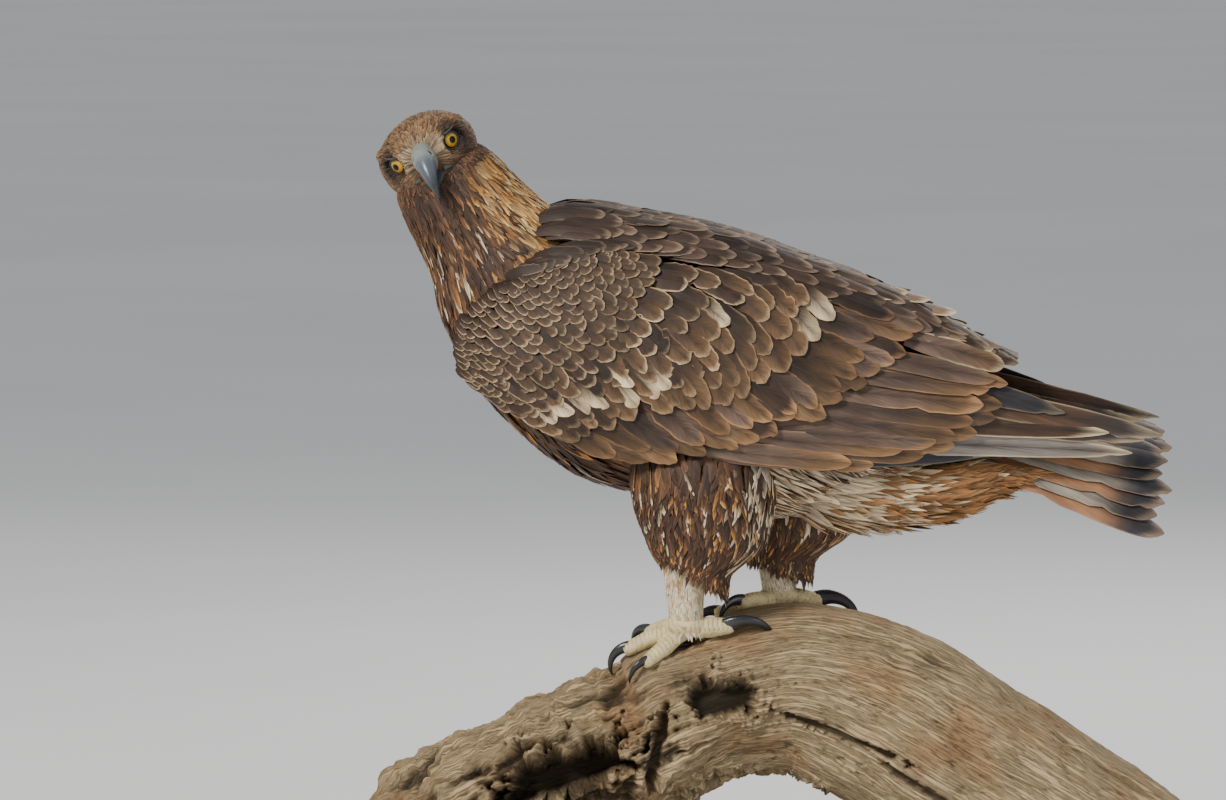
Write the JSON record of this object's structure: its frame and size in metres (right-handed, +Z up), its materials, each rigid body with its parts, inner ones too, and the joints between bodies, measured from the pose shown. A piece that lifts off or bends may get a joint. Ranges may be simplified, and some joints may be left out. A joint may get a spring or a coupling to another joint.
{
  "type": "golden eagle display model",
  "caption": "Life-size still bird of prey standing side-on with its head turned, gripping a cut length of weathered limb on a plain rod stand.",
  "frame": {"origin": "centre of the underside of the stand's base", "axes": "+Z up, -X the way the bird's breast points, -Y the bird's left side"},
  "size_m": [0.7605, 0.25, 0.7794],
  "materials": {
    "body_feathers": "soft dark brown feathers",
    "hackles": "golden-buff lance-shaped feathers over brown",
    "head_feathers": "short tan-brown feathers with pale tips",
    "bill": "smooth blue-grey horn, darker to the tip",
    "eye": "clear cornea over an amber iris",
    "mantle_feathers": "dark purple-brown feathers",
    "wing_feathers": "brown vanes with pale edges",
    "tail_feathers": "grey-brown vanes with dark tips",
    "undertail_feathers": "cream and rust-gold downy feathers",
    "thigh_feathers": "loose dark brown feathers with golden streaks",
    "shank_feathers": "short dense cream feathers",
    "toe_skin": "scaly pale yellow skin",
    "claw": "glossy slate-black horn",
    "weathered_wood": "grey-tan weathered grain",
    "stand_metal": "satin black"
  },
  "bodies": {
    "root": {"torso": "body_feathers", "neck": "hackles", "head": "head_feathers", "bill_upper": "bill", "bill_lower": "bill", "eye_l": "eye", "eye_r": "eye", "mantle": "mantle_feathers", "wing_l": "wing_feathers", "wing_r": "wing_feathers", "tail": "tail_feathers", "undertail_coverts": "undertail_feathers", "thigh_l": "thigh_feathers", "thigh_r": "thigh_feathers", "tarsus_l": "shank_feathers", "tarsus_r": "shank_feathers", "foot_l": "toe_skin", "foot_r": "toe_skin", "claw_l_inner": "claw", "claw_l_middle": "claw", "claw_l_outer": "claw", "claw_l_rear": "claw", "claw_r_inner": "claw", "claw_r_middle": "claw", "claw_r_outer": "claw", "claw_r_rear": "claw", "perch": "weathered_wood", "stand_base": "stand_metal", "stand_rod_front": "stand_metal", "stand_rod_back": "stand_metal"}
  },
  "joints": []
}
